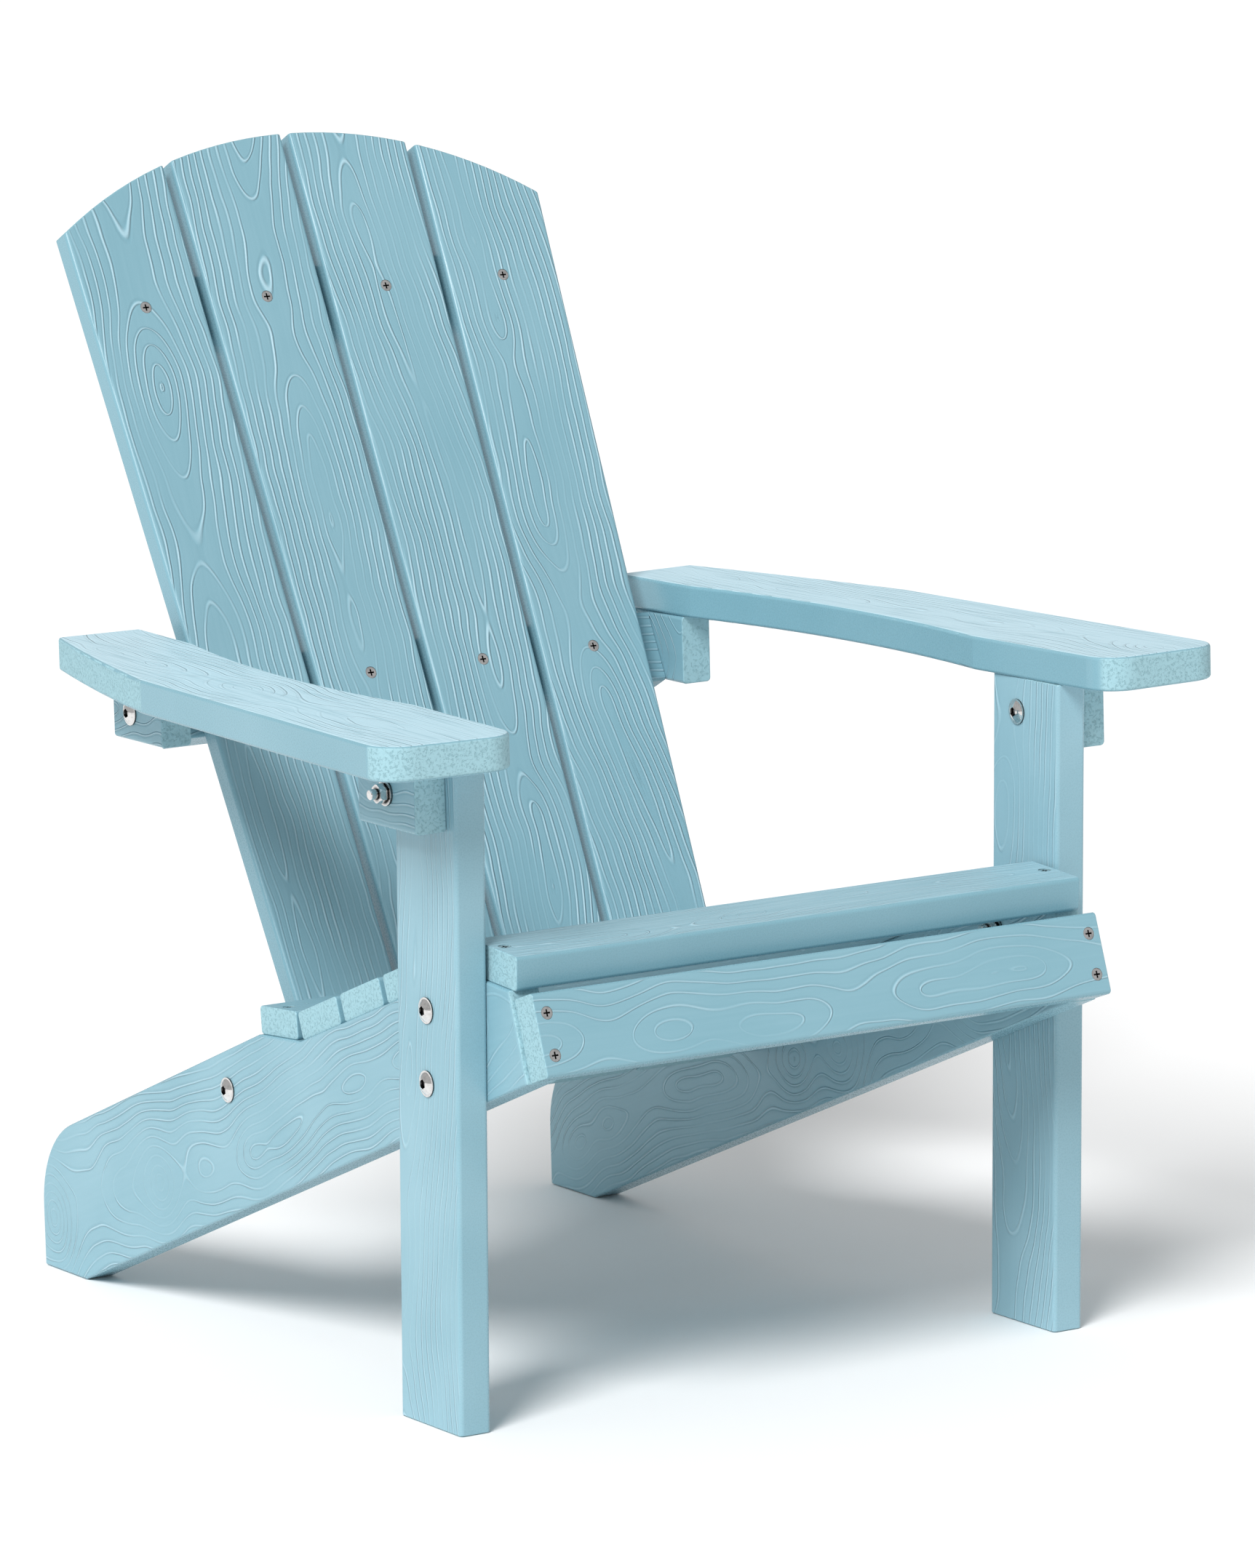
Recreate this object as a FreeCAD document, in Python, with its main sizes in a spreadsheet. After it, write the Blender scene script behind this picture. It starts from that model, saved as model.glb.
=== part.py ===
import FreeCAD
import Part
import Sketcher
import math
import os
import re

# A child-size adirondack chair made of moulded plastic boards, screwed and bolted together.
# Millimetres. The chair stands on z = 0 and faces -Y. Left is -X, as seen from the front.
# The origin is on the ground, at the middle of the chair's outline.
# Depths named "behind the toe" are measured from the front edge of the front legs' feet.

SIZES = {
    # boards
    "board_thick": 20,
    "slat_thick": 15,
    "edge_round": 2.5,
    "end_round": 0.8,
    # layout
    "toe_setback": 236.25,
    "leg_span": 385,
    "side_gap": 2.5,
    # front legs: the lean carries the top forward
    "leg_depth": 66,
    "leg_height": 386,
    "leg_lean": 2.27,
    "upper_bolt_down": 17,
    "lower_bolt_down": 59,
    # stringers: a sloping board that carries the seat and ends in the rear foot
    "stringer_reach": 532.3,
    "rear_foot": 52,
    "heel_round": 60,
    "nose_reach": 32.5,
    "nose_height": 257.5,
    "nose_tilt": 18.6,
    "chin_drop": 50.5,
    "hip_gap": 6.1,
    "hip_round": 9,
    "hip_rest": 3,
    "hollow_round": 3,
    "crest_depth": 48.3,
    "crest_round": 6,
    # seat
    "seat_slope": 20.4,
    "rear_slat_tilt": 4,
    "front_slat_tilt": 3.5,
    "seat_slat_thick": 17,
    "seat_slat_width": 48,
    "rear_slat_width": 43,
    "hip_slat_width": 36,
    "front_slat_width": 50,
    "front_slat_lip": 4.5,
    "seat_gap": 5,
    "hollow_gap": 0.7,
    "rear_slat_gap": 5.6,
    # apron
    "apron_height": 48,
    "apron_drop": 5,
    "apron_screw_inset": 12,
    # back
    "back_lean": 26.13,
    "back_tuck": 14.05,
    "slat_start": 150,
    "back_top": 762.5,
    "crown_radius": 292,
    "back_side_room": 28.6,
    "slat_gap": 5,
    "slat_taper": 0.567,
    "fan_step": 1.2,
    "rail_height": 45,
    "lower_rail_at": 178,
    "middle_rail_drop": 0.5,
    "upper_rail_drop": 104.2,
    "upper_rail_inset": 3.9,
    # arms
    "arm_heel": 7,
    "arm_width": 86,
    "arm_splay": 3.2,
    "arm_overhang": 61,
    "arm_inset": 3.5,
    "arm_corner": 20,
    "arm_tail": 181,
    "arm_tail_width": 54,
    "arm_tail_bow": 2,
    "waist_start": 127,
    "waist_length": 284,
    "waist_depth": 12.7,
    # arm blocks
    "front_block_setback": 9,
    "front_block_height": 40.5,
    "front_block_depth": 62,
    "rear_block_lead": 38,
    "rear_block_depth": 59,
    "rear_block_height": 42,
    # bolts, nuts and washers
    "bolt_width": 6,
    "bolt_play": 0.4,
    "head_width": 15,
    "head_rim": 0.9,
    "head_flat": 1,
    "head_height": 3.6,
    "socket_width": 5,
    "socket_depth": 2,
    "bolt_tail": 4.6,
    "rail_bolt_tail": 10,
    "rail_bolt_room": 2,
    "bolt_chamfer": 0.5,
    "nut_width": 10,
    "nut_height": 5,
    "nut_ease": 0.585,
    "washer_width": 14.6,
    "washer_thick": 1.4,
    "barrel_width": 10,
    "barrel_length": 16,
    "barrel_inset": 30,
    "barrel_play": 0.3,
    # screws
    "screw_width": 3.6,
    "screw_head": 7.4,
    "screw_head_height": 2.6,
    "screw_sink": 0.3,
    "screw_play": 0.15,
    "screw_rest": 1,
    "screw_point": 4,
    "screw_rim": 0.4,
    "pilot_room": 0.5,
    "recess_length": 4.2,
    "recess_width": 1,
    "recess_depth": 1.6,
    "arm_screw_inset": 13,
    "arm_screw_bite": 14.5,
    "arm_well_play": 0.6,
    "cut_past": 1,
}

doc = FreeCAD.newDocument("AdirondackChair")
sheet = doc.addObject("Spreadsheet::Sheet", "Sizes")
for row, (alias, number) in enumerate(SIZES.items(), 1):
    sheet.set("A%d" % row, alias)
    sheet.set("B%d" % row, str(number))
    sheet.setAlias("B%d" % row, alias)
doc.recompute()

parts = []


def formula(text):
    """Words that name a size become references to the sheet."""
    return re.sub(r"[a-z_]+", lambda word: "Sizes." + word[0] if word[0] in SIZES else word[0], text)


def number(text):
    result = sheet.evalExpression(formula(text))
    return float(getattr(result, "Value", result))


def bind(item, name, text):
    item.setExpression(name, formula(text))


def place(item, x="0", y="0", z="0", axis=(0, 0, 1), angle="0"):
    """Places an object and ties the place to the sheet."""
    turn = FreeCAD.Rotation(FreeCAD.Vector(*axis), number(angle))
    item.Placement = FreeCAD.Placement(FreeCAD.Vector(number(x), number(y), number(z)), turn)
    for letter, text in (("x", x), ("y", y), ("z", z)):
        bind(item, "Placement.Base." + letter, text)
    if angle != "0":
        bind(item, "Placement.Rotation.Angle", angle)


def new_body(name):
    body = doc.addObject("PartDesign::Body", name)
    body.Label = name
    return body


def new_sketch(body, name, plane):
    sketch = body.newObject("Sketcher::SketchObject", body.Name + name)
    origin_plane = [f for f in body.Origin.OriginFeatures if f.Role == plane][0]
    sketch.AttachmentSupport = [(origin_plane, "")]
    sketch.MapMode = "FlatFace"
    return sketch


def pin(sketch, curve, point, x, y):
    """Holds one point of a curve at x and y, both given as text."""
    for kind, text, axis in (("DistanceX", x, -2), ("DistanceY", y, -1)):
        if text == "0":
            sketch.addConstraint(Sketcher.Constraint("PointOnObject", curve, point, axis))
        else:
            rule = Sketcher.Constraint(kind, -1, 1, curve, point, number(text))
            index = sketch.addConstraint(rule)
            sketch.setExpression("Constraints[%d]" % index, formula(text))


def draw_outline(sketch, corners, arcs=None):
    """A closed outline. arcs gives a radius and a side for some of its stretches."""
    arcs = arcs or {}
    spots = [FreeCAD.Vector(number(x), number(y), 0) for x, y in corners]
    starts = []
    for index, start in enumerate(spots):
        end = spots[(index + 1) % len(spots)]
        if index in arcs:
            radius, side = arcs[index]
            chord = end.sub(start)
            rise = math.sqrt(number(radius) ** 2 - chord.Length ** 2 / 4)
            across = FreeCAD.Vector(-chord.y, chord.x, 0).normalize()
            centre = (start + end) * 0.5 + across * rise * side
            first = math.atan2(start.y - centre.y, start.x - centre.x)
            last = math.atan2(end.y - centre.y, end.x - centre.x)
            if side < 0:
                first, last = last, first
            circle = Part.Circle(centre, FreeCAD.Vector(0, 0, 1), number(radius))
            sketch.addGeometry(Part.ArcOfCircle(circle, first, last), False)
            starts.append((index, 1 if side > 0 else 2, 2 if side > 0 else 1))
        else:
            sketch.addGeometry(Part.LineSegment(start, end), False)
            starts.append((index, 1, 2))
    for index, (curve, first, last) in enumerate(starts):
        following, next_first, _ = starts[(index + 1) % len(starts)]
        sketch.addConstraint(Sketcher.Constraint("Coincident", curve, last, following, next_first))
        pin(sketch, curve, first, *corners[index])
        if index in arcs:
            rule = sketch.addConstraint(Sketcher.Constraint("Radius", curve, number(arcs[index][0])))
            sketch.setExpression("Constraints[%d]" % rule, formula(arcs[index][0]))


def pad(body, sketch, depth, backwards=False):
    feature = body.newObject("PartDesign::Pad", body.Name + "Pad")
    feature.Profile = sketch
    feature.Length = number(depth)
    feature.Reversed = backwards
    bind(feature, "Length", depth)
    doc.recompute()
    return feature


def round_edges(body, radius, chosen, name):
    """Rounds the edges of the body that the test named chosen accepts."""
    base = body.Tip
    names = ["Edge%d" % n for n, edge in enumerate(base.Shape.Edges, 1) if chosen(edge)]
    feature = body.newObject("PartDesign::Fillet", body.Name + name)
    feature.Base = (base, names)
    feature.Radius = number(radius)
    bind(feature, "Radius", radius)
    doc.recompute()
    return feature


def is_along(direction):
    """A test for straight edges that run along a direction."""
    aim = FreeCAD.Vector(*direction).normalize()

    def test(edge):
        if edge.Curve.TypeId != "Part::GeomLine":
            return False
        return abs(edge.Curve.Direction.dot(aim)) > 0.9999
    return test


def is_at(axis, places):
    """A test for edges that lie in one of the planes across an axis."""
    def test(edge):
        box = edge.BoundBox
        low = getattr(box, axis + "Min")
        high = getattr(box, axis + "Max")
        return any(abs(low - p) < 1e-4 and abs(high - p) < 1e-4 for p in places)
    return test


def is_corner(x, y):
    """A test for upright edges over one corner of an outline."""
    def test(edge):
        box = edge.BoundBox
        flat = box.XMax - box.XMin < 1e-4 and box.YMax - box.YMin < 1e-4
        return flat and abs(box.XMin - number(x)) < 1e-3 and abs(box.YMin - number(y)) < 1e-3
    return test


def is_side_corner(y, z):
    """A test for edges along X over one corner of a side outline."""
    def test(edge):
        box = edge.BoundBox
        flat = box.YMax - box.YMin < 1e-4 and box.ZMax - box.ZMin < 1e-4
        return flat and abs(box.YMin - number(y)) < 1e-3 and abs(box.ZMin - number(z)) < 1e-3
    return test


def is_round_about(centre, radius):
    """A test for edges that lie on an upright cylinder about a centre."""
    def test(edge):
        length = edge.LastParameter - edge.FirstParameter
        spots = [edge.valueAt(edge.FirstParameter + length * share) for share in (0, 0.5, 1)]
        return all(abs(math.hypot(s.x - centre.x, s.y - centre.y) - radius) < 1e-3 for s in spots)
    return test


def straight_board(name, length, width, thick, low="0"):
    """A board along X, centred, with rounded long edges and eased ends."""
    body = new_body(name)
    sketch = new_sketch(body, "Outline", "XY_Plane")
    half = "(%s) / 2" % length
    top = "%s + %s" % (low, width)
    draw_outline(sketch, [("-" + half, low), (half, low), (half, top), ("-" + half, top)])
    pad(body, sketch, thick)
    round_edges(body, "edge_round", is_along((1, 0, 0)), "LongEdges")
    end = number(half)
    round_edges(body, "end_round", is_at("X", (-end, end)), "Ends")
    return body


def cross_board(name, y_size, z_size, x_size):
    """A short block with its grain along Y, its corner at its own origin."""
    body = new_body(name)
    sketch = new_sketch(body, "Outline", "XY_Plane")
    draw_outline(sketch, [("0", "0"), (x_size, "0"), (x_size, y_size), ("0", y_size)])
    pad(body, sketch, z_size)
    round_edges(body, "edge_round", is_along((0, 1, 0)), "LongEdges")
    round_edges(body, "end_round", is_at("Y", (0, number(y_size))), "Ends")
    return body


# ---- sizes and places shared by boards and fasteners ----

toe = "-toe_setback"
stringer_middle = "(leg_span / 2 - board_thick / 2)"
upper_bolt_height = "(nose_height - upper_bolt_down)"
lower_bolt_height = "(nose_height - lower_bolt_down)"

# the stringers' outline follows the slats that lie on it
hip_depth = "((front_slat_width - front_slat_lip) * cos(front_slat_tilt) + hip_gap)"
hip_y = "(%s - nose_reach)" % hip_depth
hip_z = "(nose_height + %s * tan(front_slat_tilt))" % hip_depth
hollow_depth = ("((hollow_gap + 3 * (seat_slat_width + seat_gap) + hip_slat_width + hip_rest)"
                " * cos(seat_slope))")
hollow_y = "(%s + %s)" % (hip_y, hollow_depth)
hollow_z = "(%s - %s * tan(seat_slope))" % (hip_z, hollow_depth)
crest_y = "(%s + crest_depth)" % hollow_y
crest_z = "(%s - crest_depth * tan(rear_slat_tilt))" % hollow_z
foot_front = "(stringer_reach - rear_foot)"
chin_y = "(-nose_reach - chin_drop * tan(nose_tilt))"
chin_z = "(nose_height - chin_drop)"
stringer_fall = "(%s / (%s - %s))" % (chin_z, foot_front, chin_y)
heel_z = "(%s - (stringer_reach - %s) * %s)" % (crest_z, crest_y, stringer_fall)

# the back stands behind the hollow of the seat and fills the room between the stringers
inner_span = "(leg_span - 2 * board_thick)"
back_setback = "(%s - back_tuck)" % hollow_y
slat_foot_width = "((%s - 2 * back_side_room - 3 * slat_gap) / 4)" % inner_span
upper_rail_length = "(4 * %s + 3 * slat_gap - 2 * upper_rail_inset)" % slat_foot_width
middle_rail_at = ("((leg_height - middle_rail_drop + slat_thick * sin(back_lean)) / cos(back_lean)"
                  " - rail_height / 2)")
upper_rail_at = "(back_top - upper_rail_drop)"

through_bolt_length = "(2 * board_thick + washer_thick + nut_height + bolt_tail)"
rail_bolt_length = "(board_thick + barrel_inset + rail_bolt_tail)"
screw_length = "(slat_thick + board_thick - screw_rest)"


def back_point(along, behind="0"):
    """World y and z of a point so far up the back and so far behind its front face."""
    y = "(%s + %s + (%s) * sin(back_lean) + (%s) * cos(back_lean))" % (toe, back_setback, along, behind)
    z = "((%s) * cos(back_lean) - (%s) * sin(back_lean))" % (along, behind)
    return y, z


rear_block_y = "(%s - rear_block_lead)" % back_point(middle_rail_at, "slat_thick + board_thick / 2")[0]
arm_length = ("((%s + toe_setback + arm_overhang + rear_block_depth + arm_heel) / cos(arm_splay))"
              % rear_block_y)


def place_on_back(item, x="0", along="0", behind="0"):
    y, z = back_point(along, behind)
    place(item, x, y, z, (1, 0, 0), "90 - back_lean")


def seat_frames():
    """Name, width, thickness, rear bottom corner and turn of each seat slat, rear to front."""
    frames = [("rear_seat_slat", "rear_slat_width", "seat_slat_thick", hollow_y, hollow_z,
               "rear_slat_gap + rear_slat_width", "1", "rear_slat_tilt")]
    start = "hollow_gap"
    for count, width in enumerate(["seat_slat_width"] * 3 + ["hip_slat_width"], 2):
        frames.append(("seat_slat_%d" % count, width, "seat_slat_thick", hollow_y, hollow_z, start,
                       "-1", "seat_slope"))
        start = "%s + %s + seat_gap" % (start, width)
    frames.append(("front_seat_slat", "front_slat_width", "board_thick", "-nose_reach", "nose_height",
                   "front_slat_width - front_slat_lip", "1", "-front_slat_tilt"))
    return frames


def seat_slat_place(frame):
    """Rear bottom corner of a seat slat, and the turn about X that lays it on the stringers."""
    from_y, from_z, along, sign, tilt = frame[3:]
    y = "(%s + %s + %s * (%s) * cos(%s))" % (toe, from_y, sign, along, tilt)
    z = "(%s - %s * (%s) * sin(%s))" % (from_z, sign, along, tilt)
    return y, z, "-(%s)" % tilt


# ---- fasteners: each is modelled once, head up, with its seat at its own origin ----

def group(name, master, places):
    """Copies of one fastener as separate solids under one name."""
    links = []
    for count, spot in enumerate(places, 1):
        link = doc.addObject("App::Link", "%s_%d" % (name, count))
        link.LinkedObject = master
        link.LinkTransform = False
        place(link, *spot)
        links.append(link)
    compound = doc.addObject("Part::Compound", name)
    compound.Links = links
    compound.Label = name
    parts.append(compound)


def revolve(body, corners, arcs=None):
    sketch = new_sketch(body, "Profile", "XZ_Plane")
    draw_outline(sketch, corners, arcs)
    feature = body.newObject("PartDesign::Revolution", body.Name + "Turned")
    feature.Profile = sketch
    feature.ReferenceAxis = (sketch, ["V_Axis"])
    feature.Angle = 360
    doc.recompute()


def cut_down(body, sketch, depth, top):
    """Cuts a sketch into the top of the body, from a height down."""
    sketch.AttachmentOffset = FreeCAD.Placement(FreeCAD.Vector(0, 0, number(top)), FreeCAD.Rotation())
    bind(sketch, "AttachmentOffset.Base.z", top)
    pocket = body.newObject("PartDesign::Pocket", body.Name + "Recess")
    pocket.Profile = sketch
    pocket.Length = number(depth)
    bind(pocket, "Length", depth)
    doc.recompute()


def make_bolt(name, length):
    """A domed flange head with a hexagonal socket over a plain shank."""
    body = new_body(name)
    dome = ("((head_width / 2 - head_flat) ^ 2 + (head_height - head_rim) ^ 2)"
            " / (2 * (head_height - head_rim))")
    corners = [
        ("0", "-(%s)" % length),
        ("bolt_width / 2 - bolt_chamfer", "-(%s)" % length),
        ("bolt_width / 2", "bolt_chamfer - (%s)" % length),
        ("bolt_width / 2", "0"),
        ("head_width / 2", "0"),
        ("head_width / 2", "head_rim"),
        ("head_width / 2 - head_flat", "head_rim"),
        ("0", "head_height"),
    ]
    revolve(body, corners, {6: (dome, 1)})
    sketch = new_sketch(body, "Socket", "XY_Plane")
    reach = "socket_width / sqrt(3)"
    half = "socket_width / 2"
    hexagon = [(reach, "0"), (reach + " / 2", half), ("-" + reach + " / 2", half),
               ("-" + reach, "0"), ("-" + reach + " / 2", "-" + half), (reach + " / 2", "-" + half)]
    draw_outline(sketch, hexagon)
    cut_down(body, sketch, "socket_depth", "head_height")
    return body


def make_screw(name, length):
    """A flat countersunk head with a cross recess, a plain shank and a point."""
    body = new_body(name)
    corners = [
        ("0", "-(%s)" % length),
        ("screw_width / 2", "screw_point - (%s)" % length),
        ("screw_width / 2", "-screw_sink - screw_head_height"),
        ("screw_head / 2", "-screw_sink - screw_rim"),
        ("screw_head / 2", "-screw_sink"),
        ("0", "-screw_sink"),
    ]
    revolve(body, corners)
    sketch = new_sketch(body, "Cross", "XY_Plane")
    arm = "recess_length / 2"
    side = "recess_width / 2"
    cross = [(arm, "-" + side), (arm, side), (side, side), (side, arm), ("-" + side, arm),
             ("-" + side, side), ("-" + arm, side), ("-" + arm, "-" + side), ("-" + side, "-" + side),
             ("-" + side, "-" + arm), (side, "-" + arm), (side, "-" + side)]
    draw_outline(sketch, cross)
    cut_down(body, sketch, "recess_depth", "-screw_sink")
    return body


def make_nut(name):
    """A hexagonal nut with eased corners, its seat at its own origin."""
    prism = doc.addObject("Part::Prism", name + "Prism")
    prism.Polygon = 6
    bind(prism, "Circumradius", "nut_width / sqrt(3)")
    bind(prism, "Height", "nut_height")
    ball = doc.addObject("Part::Sphere", name + "Ease")
    bind(ball, "Radius", "nut_width * nut_ease")
    place(ball, "0", "0", "nut_height / 2")
    eased = doc.addObject("Part::Common", name + "Eased")
    eased.Base = prism
    eased.Tool = ball
    bore = doc.addObject("Part::Cylinder", name + "Bore")
    bind(bore, "Radius", "(bolt_width + bolt_play / 2) / 2")
    bind(bore, "Height", "nut_height")
    nut = doc.addObject("Part::Cut", name)
    nut.Base = eased
    nut.Tool = bore
    return nut


def make_washer(name):
    body = new_body(name)
    sketch = new_sketch(body, "Rings", "XY_Plane")
    for text in ("washer_width / 2", "(bolt_width + bolt_play) / 2"):
        circle = Part.Circle(FreeCAD.Vector(0, 0, 0), FreeCAD.Vector(0, 0, 1), number(text))
        curve = sketch.addGeometry(circle, False)
        sketch.addConstraint(Sketcher.Constraint("Coincident", curve, 3, -1, 1))
        rule = sketch.addConstraint(Sketcher.Constraint("Radius", curve, number(text)))
        sketch.setExpression("Constraints[%d]" % rule, formula(text))
    pad(body, sketch, "washer_thick")
    return body


def make_barrel(name):
    """A round cross nut for the rail bolts, lying along its own Z, centred."""
    rod = doc.addObject("Part::Cylinder", name + "Rod")
    bind(rod, "Radius", "barrel_width / 2")
    bind(rod, "Height", "barrel_length")
    place(rod, "0", "0", "-barrel_length / 2")
    bore = doc.addObject("Part::Cylinder", name + "Bore")
    bind(bore, "Radius", "(bolt_width + bolt_play / 2) / 2")
    bind(bore, "Height", "barrel_width * 2")
    place(bore, "-barrel_width", "0", "0", (0, 1, 0), "90")
    barrel = doc.addObject("Part::Cut", name)
    barrel.Base = rod
    barrel.Tool = bore
    return barrel


bored = {}


def note_hole(node, cutter):
    bored.setdefault(node, []).append(cutter)


def make_screw_hole(name):
    """A pilot hole and its countersink as one turned solid, pointing down its own -Z."""
    body = new_body(name)
    narrow = "(screw_width + screw_play) / 2"
    wide = "(screw_head + screw_play) / 2"
    low = "-%s - pilot_room" % screw_length
    revolve(body, [("0", low), (narrow, low), (narrow, "-screw_sink - screw_head_height"),
                   (wide, "-screw_sink - screw_rim"), (wide, "cut_past"), ("0", "cut_past")])
    return body


def screw_cutter(name, spot):
    """The hole for one screw."""
    link = doc.addObject("App::Link", name)
    link.LinkedObject = screw_hole
    link.LinkTransform = False
    place(link, *spot)
    return link


def bolt_cutter(name, spot, depth):
    """A clearance hole for one bolt, pointing down its own -Z."""
    x, y, z, axis, angle = spot
    rod = doc.addObject("Part::Cylinder", name + "Rod")
    bind(rod, "Radius", "(bolt_width + bolt_play) / 2")
    bind(rod, "Height", "%s + 2 * cut_past" % depth)
    place(rod, "0", "0", "-(%s) - cut_past" % depth)
    cutter = doc.addObject("Part::Compound", name)
    cutter.Links = [rod]
    place(cutter, x, y, z, axis, angle)
    return cutter


def finish_board(body):
    """Bores a board's holes and enters it as a part of the chair."""
    name = body.Label
    cutters = bored.get(name)
    if not cutters:
        parts.append(body)
        return
    body.Label = name + "_blank"
    tool = doc.addObject("Part::Compound", name + "_holes")
    tool.Links = cutters
    board = doc.addObject("Part::Cut", name + "_bored")
    board.Base = body
    board.Tool = tool
    board.Label = name
    parts.append(board)


# ---- boards ----

def make_leg(name, side):
    body = new_body(name)
    sketch = new_sketch(body, "Outline", "YZ_Plane")
    lean = "leg_height * tan(leg_lean)"
    draw_outline(sketch, [("0", "0"), ("leg_depth", "0"),
                          ("leg_depth - " + lean, "leg_height"), ("-" + lean, "leg_height")])
    pad(body, sketch, "board_thick")
    tilt = math.radians(number("leg_lean"))
    round_edges(body, "edge_round", is_along((0, -math.sin(tilt), math.cos(tilt))), "LongEdges")
    round_edges(body, "end_round", is_at("Z", (0, number("leg_height"))), "Ends")
    near = "leg_span / 2" if side > 0 else "-leg_span / 2 - board_thick"
    place(body, near, toe, "0")
    return body


def make_stringer(name, side):
    body = new_body(name)
    sketch = new_sketch(body, "Outline", "YZ_Plane")
    corners = [
        (foot_front, "0"),
        ("stringer_reach", "0"),
        ("stringer_reach", heel_z),
        (crest_y, crest_z),
        (hollow_y, hollow_z),
        (hip_y, hip_z),
        ("-nose_reach", "nose_height"),
        (chin_y, chin_z),
    ]
    draw_outline(sketch, corners)
    pad(body, sketch, "board_thick")
    rounds = [(2, "heel_round", "Heel"), (3, "crest_round", "Crest"), (4, "hollow_round", "Hollow"),
              (5, "hip_round", "Hip")]
    for index, radius, label in rounds:
        round_edges(body, radius, is_side_corner(*corners[index]), label)
    ends = [is_side_corner(*corners[index]) for index in (0, 1, 6, 7)]
    round_edges(body, "end_round", lambda edge: any(test(edge) for test in ends), "Corners")
    round_edges(body, "edge_round - 1", is_at("X", (0, number("board_thick"))), "Faces")
    near = "leg_span / 2 - board_thick" if side > 0 else "-leg_span / 2"
    place(body, near, toe, "0")
    return body


def make_arm(name, side):
    """The arm board, drawn along Y from its front inner corner and mirrored for the left."""
    body = new_body(name)
    sketch = new_sketch(body, "Outline", "XY_Plane")
    mirror = "" if side > 0 else "-1 * "
    tail_start = "%s - arm_tail" % arm_length
    waist_end = "waist_start + waist_length"
    waist = "((waist_length / 2) ^ 2 + waist_depth ^ 2) / (2 * waist_depth)"
    tail_chord = "(arm_tail ^ 2 + (arm_width - arm_tail_width) ^ 2)"
    tail_bow = "(%s / 4 + arm_tail_bow ^ 2) / (2 * arm_tail_bow)" % tail_chord
    corners = [
        ("0", "0"),
        (mirror + "arm_width", "0"),
        (mirror + "arm_width", tail_start),
        (mirror + "arm_tail_width", arm_length),
        ("0", arm_length),
        ("0", waist_end),
        ("0", "waist_start"),
    ]
    draw_outline(sketch, corners, {2: (tail_bow, side), 5: (waist, -side)})
    pad(body, sketch, "board_thick")
    for index, label in ((0, "InnerFront"), (1, "OuterFront")):
        round_edges(body, "arm_corner", is_corner(*corners[index]), label)
    tests = [is_corner(*corners[index]) for index in (3, 4)]
    round_edges(body, "edge_round", lambda edge: any(test(edge) for test in tests), "Rear")
    round_edges(body, "edge_round - 0.5", is_at("Z", (0, number("board_thick"))), "Faces")
    inner = "(leg_span / 2 + arm_inset)"
    turn = "arm_splay" if side > 0 else "-arm_splay"
    place(body, inner if side > 0 else "-" + inner, toe + " - arm_overhang", "leg_height",
          (0, 0, 1), turn)
    return body


def slat_middle(rank, along):
    """How far a back slat's middle line stands from the chair's middle, so far up the back."""
    return ("(%s * (%s + slat_gap) + (%s - slat_start) * tan(%s * fan_step))"
            % (rank, slat_foot_width, along, rank))


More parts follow.
